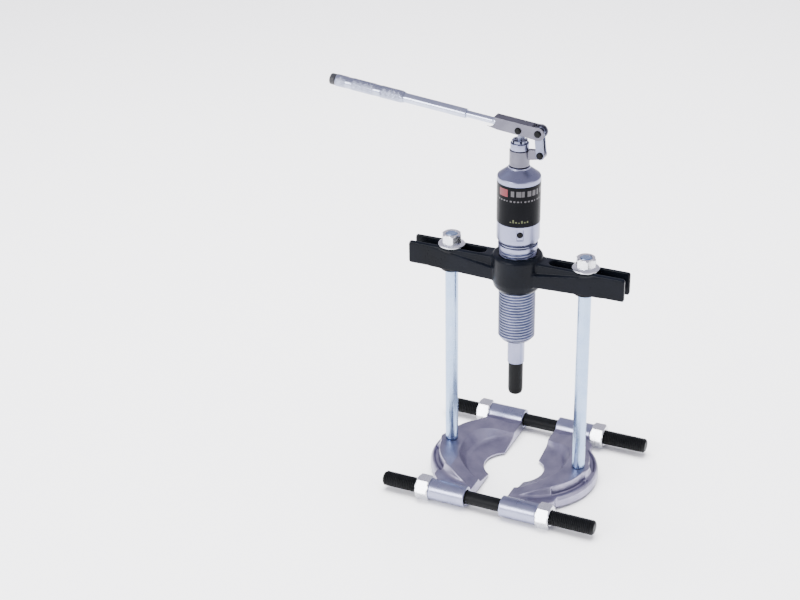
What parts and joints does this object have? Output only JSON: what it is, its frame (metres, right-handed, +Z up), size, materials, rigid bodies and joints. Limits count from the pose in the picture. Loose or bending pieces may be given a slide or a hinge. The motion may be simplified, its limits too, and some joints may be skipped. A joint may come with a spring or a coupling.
{
  "type": "gear puller",
  "caption": "Hydraulic gear puller: a hand-pumped ram screwed into a slotted yoke, with two pull rods and a two-half bearing separator.",
  "frame": {"origin": "on the ram's axis, on the plane that the separator's nuts stand on", "axes": "+Z up along the ram; +X along the yoke and the studs, away from the pump handle; +Y towards the back stud"},
  "size_m": [0.3286, 0.1978, 0.426],
  "materials": {
    "black_paint": "semi-gloss enamel",
    "bright_chrome": "polished chrome plate",
    "zinc_rod": "bright zinc plate",
    "forged_steel": "satin nickel plate on a forging, bosses turned bright",
    "black_oxide": "black oxide, oiled",
    "zinc_nut": "bright zinc plate",
    "label_film": "printed film",
    "grey_steel": "plain pressed steel",
    "spring_steel": "drawn wire",
    "seal_rubber": "moulded",
    "plug_plastic": "moulded",
    "inner_steel": "ground",
    "bronze": "turned"
  },
  "bodies": {
    "yoke": {"yoke": "black_paint"},
    "left_side": {"separator_left": "forged_steel", "pull_rod_left": "zinc_rod", "low_washer_left": "black_oxide", "top_washer_left": "zinc_nut"},
    "right_side": {"separator_right": "forged_steel", "pull_rod_right": "zinc_rod", "low_washer_right": "black_oxide", "top_washer_right": "zinc_nut"},
    "top_nut_left": {"top_nut_left": "zinc_nut"},
    "top_nut_right": {"top_nut_right": "zinc_nut"},
    "stud_front": {"stud_front": "black_oxide"},
    "stud_back": {"stud_back": "black_oxide"},
    "stud_nut_front_left": {"stud_nut_front_left": "zinc_nut"},
    "stud_nut_front_right": {"stud_nut_front_right": "zinc_nut"},
    "stud_nut_back_left": {"stud_nut_back_left": "zinc_nut"},
    "stud_nut_back_right": {"stud_nut_back_right": "zinc_nut"},
    "pump_head": {"pump_collar": "grey_steel", "ear_pin": "black_oxide", "ear_pin_clip": "spring_steel"},
    "ram": {"ram_barrel": "bright_chrome", "lock_ring": "bright_chrome", "reservoir_shell": "bright_chrome", "label_sleeve": "label_film", "pump_block": "inner_steel", "pump_tube": "inner_steel", "cap_ring": "bright_chrome", "gland_nut": "inner_steel", "guide_bush": "bronze", "wiper_seal": "seal_rubber", "return_spring": "spring_steel"},
    "spindle": {"spindle": "bright_chrome", "piston": "inner_steel", "piston_seal": "seal_rubber"},
    "swivel_tip": {"swivel_tip": "black_oxide"},
    "release_screw": {"release_screw": "inner_steel"},
    "link": {"link_plates": "bright_chrome", "lever_pin": "black_oxide", "lever_pin_clip": "spring_steel"},
    "lever": {"lever_channel": "grey_steel", "handle_stub": "bright_chrome"},
    "handle": {"handle_tube": "bright_chrome", "handle_grip": "bright_chrome", "handle_plug": "plug_plastic"},
    "plunger": {"pump_plunger": "inner_steel", "plunger_pin": "black_oxide", "plunger_pin_clip": "spring_steel"}
  },
  "joints": [
    {"name": "left_half_slide", "type": "slide", "parent": "yoke", "child": "left_side", "axis": [1, 0, 0], "range_m": [-0.015, 0.0196]},
    {"name": "right_half_slide", "type": "slide", "parent": "yoke", "child": "right_side", "axis": [-1, 0, 0], "range_m": [-0.015, 0.0196]},
    {"name": "top_nut_left_turn", "type": "hinge", "parent": "left_side", "child": "top_nut_left", "pos_m": [-0.073, 0, 0.2663], "axis": [0, 0, 1], "continuous": true},
    {"name": "top_nut_right_turn", "type": "hinge", "parent": "right_side", "child": "top_nut_right", "pos_m": [0.073, 0, 0.2663], "axis": [0, 0, 1], "continuous": true},
    {"name": "stud_front_turn", "type": "hinge", "parent": "right_side", "child": "stud_front", "pos_m": [0, -0.085, 0.012], "axis": [1, 0, 0], "continuous": true},
    {"name": "stud_back_turn", "type": "hinge", "parent": "right_side", "child": "stud_back", "pos_m": [0, 0.085, 0.012], "axis": [1, 0, 0], "continuous": true},
    {"name": "stud_nut_front_left_turn", "type": "hinge", "parent": "left_side", "child": "stud_nut_front_left", "pos_m": [-0.06735, -0.085, 0.012], "axis": [1, 0, 0], "continuous": true},
    {"name": "stud_nut_front_right_turn", "type": "hinge", "parent": "right_side", "child": "stud_nut_front_right", "pos_m": [0.06735, -0.085, 0.012], "axis": [1, 0, 0], "continuous": true},
    {"name": "stud_nut_back_left_turn", "type": "hinge", "parent": "left_side", "child": "stud_nut_back_left", "pos_m": [-0.06735, 0.085, 0.012], "axis": [1, 0, 0], "continuous": true},
    {"name": "stud_nut_back_right_turn", "type": "hinge", "parent": "right_side", "child": "stud_nut_back_right", "pos_m": [0.06735, 0.085, 0.012], "axis": [1, 0, 0], "continuous": true},
    {"name": "ram_feed", "type": "slide", "parent": "yoke", "child": "pump_head", "axis": [0, 0, 1], "range_m": [-0.0066, 0.0318]},
    {"name": "ram_turn", "type": "hinge", "parent": "pump_head", "child": "ram", "pos_m": [0, 0, 0.36], "axis": [0, 0, 1], "range_deg": [-720, 3600]},
    {"name": "spindle_stroke", "type": "slide", "parent": "ram", "child": "spindle", "axis": [0, 0, -1], "range_m": [0, 0.05], "stiffness_N_per_m": 400, "springref_m": -0.02, "deforming": ["return_spring"]},
    {"name": "tip_swivel", "type": "hinge", "parent": "spindle", "child": "swivel_tip", "pos_m": [0, 0, 0.117], "axis": [0, 0, 1], "continuous": true},
    {"name": "release_turn", "type": "hinge", "parent": "ram", "child": "release_screw", "pos_m": [0.00964, -0.01977, 0.2915], "axis": [0.4384, -0.8988, 0], "range_deg": [0, 180]},
    {"name": "link_swing", "type": "hinge", "parent": "pump_head", "child": "link", "pos_m": [0.0228, 0, 0.3736], "axis": [0, 1, 0], "range_deg": [-6.1, 1.3]},
    {"name": "lever_pump", "type": "hinge", "parent": "link", "child": "lever", "pos_m": [0.0205, 0, 0.3965], "axis": [0, 1, 0], "range_deg": [-7.2, 36]},
    {"name": "plunger_stroke", "type": "slide", "parent": "pump_head", "child": "plunger", "axis": [0, 0, 1], "range_m": [-0.0021, 0.0101]},
    {"name": "handle_pull", "type": "slide", "parent": "lever", "child": "handle", "axis": [-0.9945, 0, 0.1045], "range_m": [0, 0.025]}
  ],
  "couplings": [
    {"joint": "ram_feed", "follows": "ram_turn", "m_per_rad": 0.00050532},
    {"joint": "link_swing", "follows": "lever_pump", "ratio": -0.16667},
    {"joint": "plunger_stroke", "follows": "lever_pump", "m_per_rad": 0.0159}
  ]
}
